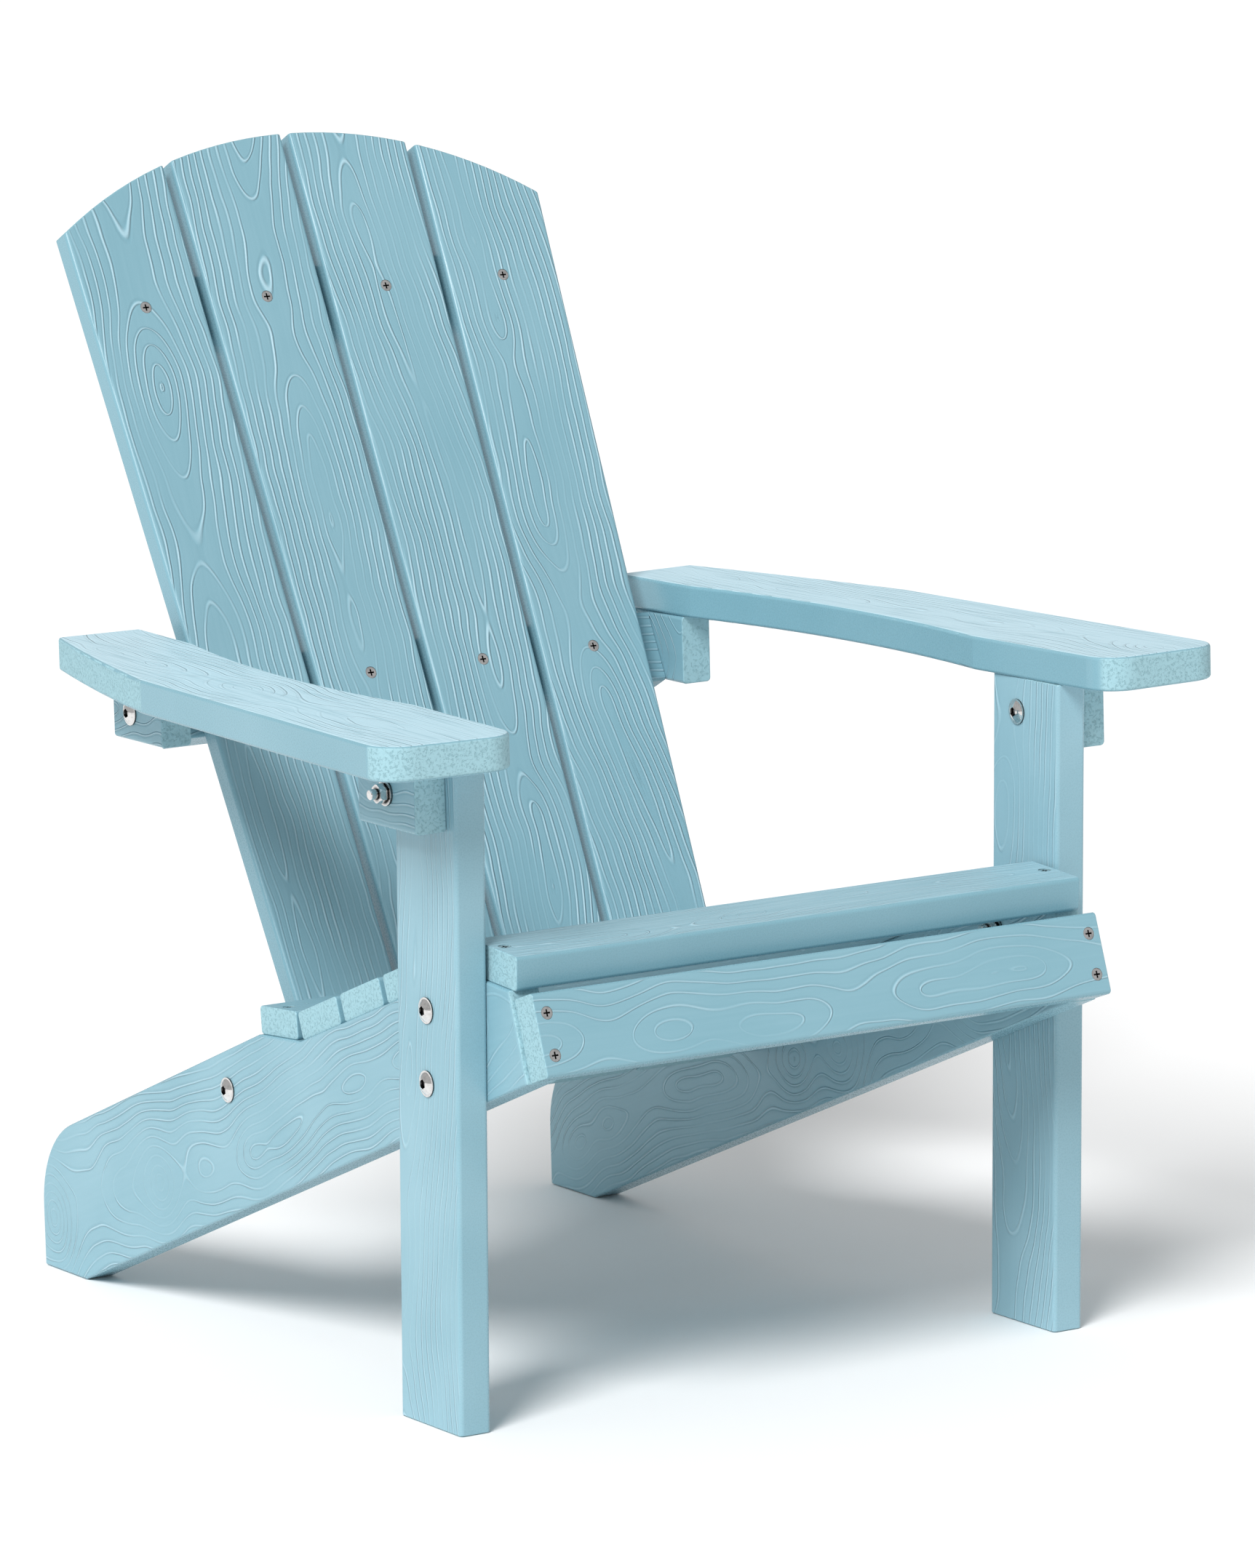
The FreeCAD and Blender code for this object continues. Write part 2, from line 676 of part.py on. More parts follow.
def make_back_slat(name, rank):
    """A tapered slat in the back's own plane. Its top follows the crown's arc."""
    body = new_body(name)
    sketch = new_sketch(body, "Outline", "XY_Plane")
    middle = slat_middle(rank, "slat_start")
    angles = ["%s * fan_step + slat_taper" % rank, "%s * fan_step - slat_taper" % rank]
    feet = ["%s + %s / 2" % (middle, slat_foot_width), "%s - %s / 2" % (middle, slat_foot_width)]
    radius = number("crown_radius")
    centre = FreeCAD.Vector(0, number("back_top - crown_radius"), 0)
    bottom = number("slat_start")
    tops = []
    for foot, angle in zip(feet, angles):
        lean = math.tan(math.radians(number(angle)))
        x = number(foot)
        for _ in range(20):
            y = centre.y + math.sqrt(radius ** 2 - x ** 2)
            x = number(foot) + (y - bottom) * lean
        tops.append(FreeCAD.Vector(x, y, 0))
    right = FreeCAD.Vector(number(feet[0]), bottom, 0)
    left = FreeCAD.Vector(number(feet[1]), bottom, 0)
    sketch.addGeometry(Part.LineSegment(left, right), False)
    sketch.addGeometry(Part.LineSegment(right, tops[0]), False)
    first, last = [math.atan2(top.y - centre.y, top.x) for top in tops]
    crown = Part.Circle(centre, FreeCAD.Vector(0, 0, 1), radius)
    sketch.addGeometry(Part.ArcOfCircle(crown, first, last), False)
    sketch.addGeometry(Part.LineSegment(tops[1], left), False)
    for curve, point, other, other_point in ((0, 2, 1, 1), (1, 2, 2, 1), (2, 2, 3, 1), (3, 2, 0, 1)):
        sketch.addConstraint(Sketcher.Constraint("Coincident", curve, point, other, other_point))
    pin(sketch, 0, 1, feet[1], "slat_start")
    pin(sketch, 0, 2, feet[0], "slat_start")
    pin(sketch, 2, 3, "0", "back_top - crown_radius")
    rule = sketch.addConstraint(Sketcher.Constraint("Radius", 2, radius))
    sketch.setExpression("Constraints[%d]" % rule, formula("crown_radius"))
    for curve, start, angle, turn in ((1, 1, angles[0], 90), (3, 2, angles[1], 90)):
        text = "%d - (%s)" % (turn, angle)
        rule = sketch.addConstraint(
            Sketcher.Constraint("Angle", -1, 1, curve, start, math.radians(number(text))))
        sketch.setExpression("Constraints[%d]" % rule, formula("(%s) * 1 deg" % text))
    pad(body, sketch, "slat_thick", backwards=True)
    on_faces = is_at("Z", (0, -number("slat_thick")))
    on_foot = is_at("Y", (bottom,))
    on_crown = is_round_about(centre, radius)
    round_edges(body, "edge_round", lambda edge: on_faces(edge) and not on_foot(edge) and not on_crown(edge),
                "LongEdges")
    round_edges(body, "end_round", lambda edge: on_foot(edge) or on_crown(edge), "Ends")
    place_on_back(body)
    return body


# ---- assembly ----

screw = make_screw("ScrewModel", screw_length)
screw_hole = make_screw_hole("ScrewHoleModel")
through_bolt = make_bolt("ThroughBoltModel", through_bolt_length)
rail_bolt = make_bolt("RailBoltModel", rail_bolt_length)
nut = make_nut("NutModel")
washer = make_washer("WasherModel")
barrel = make_barrel("BarrelModel")

sides = (("left", -1), ("right", 1))
boards = []

for side_name, side in sides:
    boards.append(make_stringer(side_name + "_stringer", side))
    boards.append(make_leg(side_name + "_front_leg", side))
    boards.append(make_arm(side_name + "_arm", side))

# seat slats and their screws
seat_spots = []
for frame in seat_frames():
    node, width, thick = frame[:3]
    y, z, turn = seat_slat_place(frame)
    board = straight_board(node, "leg_span - 2 * side_gap", width, thick, "-" + width)
    place(board, "0", y, z, (1, 0, 0), turn)
    boards.append(board)
    for side_name, side in sides:
        reach = "(%s) / 2" % width
        x = stringer_middle if side > 0 else "-" + stringer_middle
        screw_y = "(%s - %s * cos(%s) - %s * sin(%s))" % (y, reach, turn, thick, turn)
        screw_z = "(%s - %s * sin(%s) + %s * cos(%s))" % (z, reach, turn, thick, turn)
        spot = (x, screw_y, screw_z, (1, 0, 0), turn)
        seat_spots.append(spot)
        cutter = screw_cutter("%s_%s_hole" % (node, side_name), spot)
        note_hole(node, cutter)
        note_hole(side_name + "_stringer", cutter)
group("seat_screws", screw, seat_spots)

# front apron, square to the stringers' front ends
apron_turn = "90 - nose_tilt"
apron_y = "(%s - nose_reach - apron_drop * sin(nose_tilt))" % toe
apron_z = "(nose_height - apron_drop * cos(nose_tilt))"
apron = straight_board("front_apron", "leg_span - 2 * side_gap", "apron_height", "board_thick",
                       "-apron_height")
place(apron, "0", apron_y, apron_z, (1, 0, 0), apron_turn)
boards.append(apron)
apron_spots = []
for side_name, side in sides:
    x = stringer_middle if side > 0 else "-" + stringer_middle
    for count, down in enumerate(("apron_screw_inset", "(apron_height - apron_screw_inset)"), 1):
        y = "(%s - %s * sin(nose_tilt) - board_thick * cos(nose_tilt))" % (apron_y, down)
        z = "(%s - %s * cos(nose_tilt) + board_thick * sin(nose_tilt))" % (apron_z, down)
        spot = (x, y, z, (1, 0, 0), apron_turn)
        apron_spots.append(spot)
        cutter = screw_cutter("apron_%s_%d_hole" % (side_name, count), spot)
        note_hole("front_apron", cutter)
        note_hole(side_name + "_stringer", cutter)
group("apron_screws", screw, apron_spots)

# back rails, back slats and their screws
rails = (("lower_back_rail", "lower_rail_at", inner_span), ("middle_back_rail", middle_rail_at, inner_span),
         ("upper_back_rail", upper_rail_at, upper_rail_length))
for node, centre, length in rails:
    board = straight_board(node, length, "rail_height", "board_thick", "-rail_height / 2")
    place_on_back(board, "0", centre, "slat_thick + board_thick")
    boards.append(board)

back_spots = []
slat_ranks = (("left_outer_back_slat", "-1.5"), ("left_inner_back_slat", "-0.5"),
              ("right_inner_back_slat", "0.5"), ("right_outer_back_slat", "1.5"))
for node, rank in slat_ranks:
    boards.append(make_back_slat(node, rank))
    for rail, centre, _ in rails:
        y, z = back_point(centre)
        spot = (slat_middle(rank, centre), y, z, (1, 0, 0), "90 - back_lean")
        back_spots.append(spot)
        cutter = screw_cutter("%s_%s_hole" % (node, rail), spot)
        note_hole(node, cutter)
        note_hole(rail, cutter)
group("back_screws", screw, back_spots)

# arm blocks
front_block_y = "(%s - (leg_height - front_block_height) * tan(leg_lean) + front_block_setback)" % toe
for side_name, side in sides:
    node = side_name + "_front_arm_block"
    board = cross_board(node, "front_block_depth", "front_block_height", "board_thick")
    x = "leg_span / 2 + board_thick" if side > 0 else "-leg_span / 2 - 2 * board_thick"
    place(board, x, front_block_y, "leg_height - front_block_height")
    boards.append(board)
    node = side_name + "_rear_arm_block"
    board = cross_board(node, "rear_block_depth", "rear_block_height", "board_thick")
    x = "leg_span / 2 - board_thick" if side > 0 else "-leg_span / 2"
    place(board, x, rear_block_y, "leg_height - rear_block_height")
    boards.append(board)

# screws from below, through each block into its arm
arm_spots = []
for side_name, side in sides:
    for kind, start, depth, height, middle in (
            ("front", front_block_y, "front_block_depth", "front_block_height",
             "(leg_span / 2 + board_thick * 1.5)"),
            ("rear", rear_block_y, "rear_block_depth", "rear_block_height", stringer_middle)):
        x = middle if side > 0 else "-" + middle
        for count, inset in enumerate(("arm_screw_inset", "(%s - arm_screw_inset)" % depth), 1):
            seat = "(leg_height + arm_screw_bite - %s)" % screw_length
            spot = (x, "%s + %s" % (start, inset), seat, (1, 0, 0), "180")
            arm_spots.append(spot)
            node = "%s_%s_arm_block" % (side_name, kind)
            cutter = screw_cutter("%s_screw_%d_hole" % (node, count), spot)
            mouth = doc.addObject("Part::Cylinder", "%s_screw_%d_well" % (node, count))
            bind(mouth, "Radius", "screw_head / 2 + arm_well_play")
            bind(mouth, "Height", "%s + arm_screw_bite - %s + cut_past" % (height, screw_length))
            place(mouth, x, "%s + %s" % (start, inset), "leg_height - %s - cut_past" % height)
            note_hole(node, cutter)
            note_hole(node, mouth)
            note_hole(side_name + "_arm", cutter)
group("arm_screws", screw, arm_spots)

# bolts through the legs, the blocks and the rail ends
leg_bolts = []
leg_nuts = []
leg_washers = []
block_bolts = []
block_nuts = []
block_washers = []
rail_bolts = []
barrels = []
for side_name, side in sides:
    inward = "90" if side > 0 else "-90"
    outward = "-90" if side > 0 else "90"
    sign = "" if side > 0 else "-1 * "
    for label, height in (("upper", upper_bolt_height), ("lower", lower_bolt_height)):
        y = "(%s + leg_depth / 2 - %s * tan(leg_lean))" % (toe, height)
        spot = (sign + "(leg_span / 2 + board_thick)", y, height, (0, 1, 0), inward)
        leg_bolts.append(spot)
        cutter = bolt_cutter("%s_leg_%s_hole" % (side_name, label), spot, "2 * board_thick")
        note_hole(side_name + "_front_leg", cutter)
        note_hole(side_name + "_stringer", cutter)
        seat = "(leg_span / 2 - board_thick%s)"
        leg_washers.append((sign + seat % "", y, height, (0, 1, 0), outward))
        leg_nuts.append((sign + seat % " - washer_thick", y, height, (0, 1, 0), outward))
    height = "(leg_height - front_block_height / 2)"
    y = "(%s + front_block_depth / 2)" % front_block_y
    spot = (sign + "leg_span / 2", y, height, (0, 1, 0), outward)
    block_bolts.append(spot)
    cutter = bolt_cutter("%s_block_hole" % side_name, spot, "2 * board_thick")
    note_hole(side_name + "_front_leg", cutter)
    note_hole(side_name + "_front_arm_block", cutter)
    block_washers.append((sign + "(leg_span / 2 + 2 * board_thick)", y, height, (0, 1, 0), inward))
    block_nuts.append((sign + "(leg_span / 2 + 2 * board_thick + washer_thick)", y, height,
                       (0, 1, 0), inward))
    for rail, centre, neighbour in (("lower_back_rail", "lower_rail_at", "_stringer"),
                                    ("middle_back_rail", middle_rail_at, "_rear_arm_block")):
        y, z = back_point(centre, "slat_thick + board_thick / 2")
        spot = (sign + "leg_span / 2", y, z, (0, 1, 0), inward)
        rail_bolts.append(spot)
        cutter = bolt_cutter("%s_%s_hole" % (side_name, rail), spot,
                             "%s + rail_bolt_room - cut_past" % rail_bolt_length)
        note_hole(side_name + neighbour, cutter)
        note_hole(rail, cutter)
        barrel_x = sign + "(leg_span / 2 - board_thick - barrel_inset)"
        barrels.append((barrel_x, y, z, (1, 0, 0), "90 - back_lean"))
        well = doc.addObject("Part::Cylinder", "%s_%s_well" % (side_name, rail))
        bind(well, "Radius", "(barrel_width + barrel_play) / 2")
        bind(well, "Height", "barrel_length / 2 + board_thick / 2 + cut_past")
        well_y, well_z = back_point(centre, "slat_thick + board_thick + cut_past")
        place(well, barrel_x, well_y, well_z, (1, 0, 0), "90 - back_lean")
        note_hole(rail, well)
group("leg_bolts", through_bolt, leg_bolts)
group("leg_washers", washer, leg_washers)
group("leg_nuts", nut, leg_nuts)
group("arm_block_bolts", through_bolt, block_bolts)
group("arm_block_washers", washer, block_washers)
group("arm_block_nuts", nut, block_nuts)
group("rail_bolts", rail_bolt, rail_bolts)
group("rail_barrel_nuts", barrel, barrels)

for board in boards:
    finish_board(board)

doc.recompute()
for item in doc.Objects:
    if "Invalid" in item.State or "Error" in item.State:
        raise RuntimeError("%s did not build: %s" % (item.Label, item.State))
loosest = 0.01    # millimetres by which an edge may miss its faces
for item in parts:
    if item.Shape.isNull() or not item.Shape.isValid():
        raise RuntimeError("%s has no valid shape" % item.Label)
    if max(edge.Tolerance for edge in item.Shape.Edges) > loosest:
        raise RuntimeError("%s has loose edges" % item.Label)

os.makedirs("parts", exist_ok=True)
for item in parts:
    item.Shape.exportStep("parts/%s.step" % item.Label)
    box = item.Shape.BoundBox
    print("%-24s %2d solids  x %7.1f %7.1f  y %7.1f %7.1f  z %7.1f %7.1f" % (
        item.Label, len(item.Shape.Solids), box.XMin, box.XMax, box.YMin, box.YMax, box.ZMin, box.ZMax))
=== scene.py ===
import math
import bpy
import numpy as np
from mathutils import Euler, Matrix, Vector


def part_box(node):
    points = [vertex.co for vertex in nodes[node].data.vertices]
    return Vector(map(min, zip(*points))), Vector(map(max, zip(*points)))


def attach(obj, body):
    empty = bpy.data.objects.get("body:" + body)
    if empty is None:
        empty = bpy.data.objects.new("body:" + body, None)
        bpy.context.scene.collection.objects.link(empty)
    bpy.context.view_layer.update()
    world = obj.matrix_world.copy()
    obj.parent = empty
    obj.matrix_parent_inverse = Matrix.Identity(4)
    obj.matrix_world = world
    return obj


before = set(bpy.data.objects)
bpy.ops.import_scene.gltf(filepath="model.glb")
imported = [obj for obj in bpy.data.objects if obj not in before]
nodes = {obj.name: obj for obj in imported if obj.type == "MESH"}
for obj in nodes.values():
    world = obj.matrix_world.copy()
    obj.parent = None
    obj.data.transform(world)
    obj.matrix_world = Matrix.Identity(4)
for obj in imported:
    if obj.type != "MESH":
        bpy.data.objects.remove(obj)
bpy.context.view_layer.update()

print("frame loaded:", len(nodes), "nodes")


def newMaterial(name):
    material = bpy.data.materials.new(name)
    material.use_nodes = True
    tree = material.node_tree
    tree.nodes.clear()
    shader = tree.nodes.new("ShaderNodeBsdfPrincipled")
    output = tree.nodes.new("ShaderNodeOutputMaterial")
    tree.links.new(shader.outputs["BSDF"], output.inputs["Surface"])
    return material, tree, shader


def feed(tree, socket, value):
    # a socket takes either another socket or a plain value
    if isinstance(value, bpy.types.NodeSocket):
        tree.links.new(value, socket)
    else:
        socket.default_value = value


def calc(tree, operation, first, second=0.0):
    node = tree.nodes.new("ShaderNodeMath")
    node.operation = operation
    for socket, value in zip(node.inputs, (first, second)):
        feed(tree, socket, value)
    return node.outputs[0]


def times(tree, first, second):
    return calc(tree, "MULTIPLY", first, second)


def plus(tree, first, second):
    return calc(tree, "ADD", first, second)


def minus(tree, first, second):
    return calc(tree, "SUBTRACT", first, second)


def ramp(tree, value, low, high, outLow=0.0, outHigh=1.0):
    # smooth step from outLow to outHigh as value goes from low to high
    node = tree.nodes.new("ShaderNodeMapRange")
    node.interpolation_type = "SMOOTHSTEP"
    for socket, item in zip(node.inputs, (value, low, high, outLow, outHigh)):
        feed(tree, socket, item)
    return node.outputs[0]


def blendColour(tree, amount, first, second):
    node = tree.nodes.new("ShaderNodeMix")
    node.data_type = "RGBA"
    feed(tree, node.inputs[0], amount)
    feed(tree, node.inputs[6], first)
    feed(tree, node.inputs[7], second)
    return node.outputs[2]


def join(tree, x, y, z):
    node = tree.nodes.new("ShaderNodeCombineXYZ")
    for socket, value in zip(node.inputs, (x, y, z)):
        feed(tree, socket, value)
    return node.outputs[0]


def split(tree, vector):
    node = tree.nodes.new("ShaderNodeSeparateXYZ")
    feed(tree, node.inputs[0], vector)
    return node.outputs


def cloud(tree, vector, detail=2.0, roughness=0.5, scale=1.0):
    node = tree.nodes.new("ShaderNodeTexNoise")
    feed(tree, node.inputs["Vector"], vector)
    node.inputs["Scale"].default_value = scale
    node.inputs["Detail"].default_value = detail
    node.inputs["Roughness"].default_value = roughness
    return node.outputs[0]


def turned(tree, vector, turn, kind, shift=(0, 0, 0)):
    node = tree.nodes.new("ShaderNodeMapping")
    node.vector_type = kind
    feed(tree, node.inputs["Vector"], vector)
    node.inputs["Rotation"].default_value = turn
    if kind == "POINT":
        node.inputs["Location"].default_value = shift
    return node.outputs[0]


def raiseSkin(tree, shader, height):
    # height is in metres
    bump = tree.nodes.new("ShaderNodeBump")
    bump.inputs["Distance"].default_value = 1.0
    feed(tree, bump.inputs["Height"], height)
    tree.links.new(bump.outputs["Normal"], shader.inputs["Normal"])


skin = {
    "faceColour": (0.172, 0.354, 0.424, 1),
    "paleColour": (0.530, 0.740, 0.830, 1),
    "sawnColour": (0.320, 0.530, 0.590, 1),
    "speckColour": (0.190, 0.380, 0.430, 1),
    # the next colour is painted shade beside each grain line
    "paintedGrooveShadeColour": (0.120, 0.285, 0.355, 1),
    "light": 0.16,            # how far pale patches lift the colour
    "pale": 0.10,             # how far the pale streaks show
    "streakFineness": (16.0, 420.0),   # per metre, along the board and across it
    "patchFineness": 11.0,
    "pebbleFineness": 900.0,
    "pebbleHeight": 0.00003,  # metres
    "foamFineness": 620.0,
    "pitDepth": 0.00016,
    "faceRoughness": 0.42,
    "edgeRoughness": 0.28,
    "sawnRoughness": 0.78,
    "roughnessSpread": 0.20,
    "gloss": 1.49,            # index of refraction
    "broadFrom": (0.80, 0.97),     # how squarely a face looks along the board's thickness
    "sawnFrom": (0.55, 0.80),      # how squarely a face looks along its length
    "outerEdge": (0.990, 0.997),   # the same for an arm's outer edge, inner edge and flat faces
    "innerEdge": (-0.92, -0.80),
    "flatFace": (0.35, 0.75),
    "pitsFrom": (0.50, 0.66),
    "pitTint": 0.50,
    "edgePebble": 0.25,       # how much of the pebbling the smooth edges keep
}
grain = {
    "spacing": 0.0050,        # metres from one line to the next where they run straight
    "lineWidth": 0.00062,     # metres, half the width of a line
    "lineHeight": 0.00050,
    "grooveDepth": 0.00016,   # metres, the dip on each side of a line
    "swing": 6.0,             # how often the arches turn, per metre
    "swell": 0.105,           # metres, how much the lines' depth wanders
    "level": 0.47,
    "drift": 0.05,            # metres, how far the arches wander sideways
    "wobble": 1.3,            # how unsteady the lines are, in spacings
    "wobbleFineness": (22.0, 28.0),
    "breakFineness": (9.0, 34.0),
    "faint": 0.15,            # what is left of the lines where they fade
    # the lines' pale tint is partly the grain's own colour and partly a painted highlight
    "lineTintAndPaintedHighlight": 0.50,
    # how far painted shade darkens the dip beside each line
    "paintedGrooveShadeTint": 0.22,
    "swingAcross": 3.0,       # per metre
    "driftFineness": 4.0,
    "depthShare": 0.10,       # how little the depth counts towards steepness
    "leastSteep": 0.30,
    "leastRadius": 0.001,     # metres, keeps the middle of an oval from dividing by nothing
    "fades": (0.34, 0.60),
    "lineEdge": (0.15, 1.4),  # in half line widths, as the two below
    "grooveStart": (0.9, 1.6),
    "grooveEnd": (1.7, 3.2),
}


def stretched(tree, along, across, fineness, third):
    # a point scaled apart along and across the board, to sample a cloud at
    return join(tree, times(tree, along, fineness[0]), times(tree, across, fineness[1]), third)


def grainLines(tree, along, across, look):
    # Lines are contours of the square root of across squared plus depth squared, where depth wanders
    # slowly along the board: nested arches where it changes, ovals where it turns back.
    # Gives the distance from the nearest line in half line widths, and how firm the line is there.
    seed, spacing = look["seed"], look.get("spacing", grain["spacing"])
    swing = (look.get("swing", grain["swing"]), grain["swingAcross"])
    slow = cloud(tree, stretched(tree, along, across, swing, seed * 0.71), 1.0)
    drift = cloud(tree, join(tree, times(tree, along, grain["driftFineness"]), seed * 2.3, 0.0), 0.0)
    wobble = cloud(tree, stretched(tree, along, across, grain["wobbleFineness"], seed), 1.0)
    depth = times(tree, minus(tree, slow, grain["level"]), look.get("swell", grain["swell"]))
    side = plus(tree, across, times(tree, minus(tree, drift, 0.5), grain["drift"]))
    side = plus(tree, side, look.get("offset", 0.0))
    side2, depth2 = times(tree, side, side), times(tree, depth, depth)
    radius = calc(tree, "SQRT", plus(tree, side2, depth2))
    rings = plus(tree, calc(tree, "DIVIDE", radius, spacing), times(tree, wobble, grain["wobble"]))
    # the steeper the contours, the more of a ring a line of fixed width takes
    slope = calc(tree, "SQRT", plus(tree, side2, times(tree, depth2, grain["depthShare"])))
    steep = calc(tree, "DIVIDE", slope, calc(tree, "MAXIMUM", radius, grain["leastRadius"]))
    steep = calc(tree, "MAXIMUM", steep, grain["leastSteep"])
    lineWidth = times(tree, steep, grain["lineWidth"] / spacing)
    gap = calc(tree, "ABSOLUTE", minus(tree, calc(tree, "FRACT", rings), 0.5))
    breaks = cloud(tree, stretched(tree, along, across, grain["breakFineness"], seed + 3.0), 2.0)
    strength = look.get("strength", 1.0)
    firm = ramp(tree, breaks, *grain["fades"], grain["faint"] * strength, strength)
    return calc(tree, "DIVIDE", gap, lineWidth), firm


def outlineCuts(tree, facing, outward):
    # the sawn parts of an arm's edge: all but the outer side and the hollow inner one
    flat = calc(tree, "SQRT", plus(tree, calc(tree, "POWER", facing[0], 2.0),
                                   calc(tree, "POWER", facing[1], 2.0)))
    outer = calc(tree, "DIVIDE", times(tree, facing[0], float(outward)), calc(tree, "MAXIMUM", flat, 0.001))
    ends = times(tree, ramp(tree, outer, *skin["outerEdge"], 1.0, 0.0), ramp(tree, outer, *skin["innerEdge"]))
    return times(tree, ends, ramp(tree, calc(tree, "ABSOLUTE", facing[2]), *skin["flatFace"], 1.0, 0.0))


def boardMaterial(name, look):
    # moulded plastic with a raised grain on its broad faces, painted shade beside its lines and a partly
    # painted highlight on them, smooth edges and foamy sawn ends
    low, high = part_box(name)
    turn = Euler([math.radians(angle) for angle in look.get("turn", (0, 0, 0))])
    shift = -(turn.to_matrix() @ ((Vector(low) + Vector(high)) / 2))
    material, tree, shader = newMaterial(name + "Skin")
    place = tree.nodes.new("ShaderNodeTexCoord")
    onPiece = place.outputs["Object"]
    spot = split(tree, turned(tree, onPiece, turn, "POINT", shift))
    facing = split(tree, turned(tree, place.outputs["Normal"], turn, "VECTOR"))
    alongAxis, acrossAxis, thickAxis = ["xyz".index(letter) for letter in look["axes"]]
    along = plus(tree, spot[alongAxis], look["seed"] * 1.37)
    across, through = spot[acrossAxis], spot[thickAxis]

    broad = ramp(tree, calc(tree, "ABSOLUTE", facing[thickAxis]), *skin["broadFrom"])
    if "outward" in look:
        sawn = outlineCuts(tree, facing, look["outward"])
    else:
        sawn = ramp(tree, calc(tree, "ABSOLUTE", facing[alongAxis]), *skin["sawnFrom"])
    offLine, firm = grainLines(tree, along, across, look)
    firm = times(tree, firm, broad)
    # the raised line, which also carries the partly painted highlight
    raisedLineAndHighlight = times(tree, ramp(tree, offLine, *grain["lineEdge"], 1.0, 0.0), firm)
    # the dip beside each line, which also carries the painted shade
    grooveDipAndShade = times(tree, times(tree, ramp(tree, offLine, *grain["grooveStart"]),
                               ramp(tree, offLine, *grain["grooveEnd"], 1.0, 0.0)), firm)

    fine = cloud(tree, onPiece, 3.0, 0.6, skin["pebbleFineness"])
    pits = ramp(tree, cloud(tree, onPiece, 4.0, 0.75, skin["foamFineness"]), *skin["pitsFrom"])
    patch = cloud(tree, onPiece, 2.0, 0.5, skin["patchFineness"])
    slender, narrow = skin["streakFineness"]
    streakSpot = stretched(tree, along, across, (slender, narrow), times(tree, through, narrow))
    streak = cloud(tree, streakSpot, 3.0)

    face = skin["faceColour"]
    streaked = times(tree, streak, broad)
    # pale patches and streaks are the plastic's own tone; the groove tint is painted shade and the line tint
    # is partly a painted highlight
    for amount, tint in ((times(tree, patch, look.get("light", skin["light"])), "paleColour"),
                         (times(tree, grooveDipAndShade, grain["paintedGrooveShadeTint"]), "paintedGrooveShadeColour"),
                         (times(tree, raisedLineAndHighlight, grain["lineTintAndPaintedHighlight"]), "paleColour"),
                         (times(tree, streaked, look.get("pale", skin["pale"])), "paleColour")):
        face = blendColour(tree, amount, face, skin[tint])
    cut = blendColour(tree, times(tree, pits, skin["pitTint"]), skin["sawnColour"], skin["speckColour"])
    feed(tree, shader.inputs["Base Color"], blendColour(tree, sawn, face, cut))

    rough = plus(tree, ramp(tree, broad, 0.0, 1.0, skin["edgeRoughness"], skin["faceRoughness"]),
                 times(tree, minus(tree, fine, 0.5), skin["roughnessSpread"]))
    feed(tree, shader.inputs["Roughness"], ramp(tree, sawn, 0.0, 1.0, rough, skin["sawnRoughness"]))
    shader.inputs["IOR"].default_value = skin["gloss"]

    relief = times(tree, raisedLineAndHighlight, grain["lineHeight"])
    pebble = times(tree, fine, ramp(tree, broad, 0.0, 1.0, skin["edgePebble"], 1.0))
    for part, height in ((grooveDipAndShade, -grain["grooveDepth"]), (pebble, skin["pebbleHeight"]),
                         (times(tree, pits, sawn), -skin["pitDepth"])):
        relief = plus(tree, relief, times(tree, part, height))
    raiseSkin(tree, shader, relief)
    return material


def dress(name, material):
    mesh = nodes[name].data
    mesh.materials.clear()
    mesh.materials.append(material)


lean = 26.13         # degrees, how far the back leans
backSlats = {
    "left_outer_back_slat": {"seed": 1.0, "fan": -1.8, "offset": 0.006},
    "left_inner_back_slat": {"seed": 2.6, "fan": -0.6, "offset": -0.004},
    "right_inner_back_slat": {"seed": 4.1, "fan": 0.6, "offset": 0.002},
    "right_outer_back_slat": {"seed": 5.7, "fan": 1.8, "offset": 0.005},
}
for name, look in backSlats.items():
    look.update(turn=(lean, look["fan"], 0), axes="zxy", swing=5.2)
    dress(name, boardMaterial(name, look))
for count, name in enumerate(("lower_back_rail", "middle_back_rail", "upper_back_rail")):
    dress(name, boardMaterial(name, {"seed": 7.3 + count * 1.9, "turn": (lean, 0, 0), "axes": "xzy"}))
print("back dressed")

seatSlope = 20.4     # degrees
seatSlats = {
    "rear_seat_slat": {"seed": 11.0, "tilt": 4.0},
    "seat_slat_2": {"seed": 12.4, "tilt": seatSlope},
    "seat_slat_3": {"seed": 13.9, "tilt": seatSlope},
    "seat_slat_4": {"seed": 15.2, "tilt": seatSlope},
    "seat_slat_5": {"seed": 16.8, "tilt": seatSlope},
    "front_seat_slat": {"seed": 18.1, "tilt": -3.5, "pale": 0.60},
}
for name, look in seatSlats.items():
    look.update(turn=(look["tilt"], 0, 0), axes="xyz")
    dress(name, boardMaterial(name, look))
apronLook = {"seed": 21.3, "turn": (18.6, 0, 0), "axes": "xzy", "strength": 0.75, "spacing": 0.0068,
             "swing": 7.0, "offset": 0.006}
dress("front_apron", boardMaterial("front_apron", apronLook))
print("seat dressed")

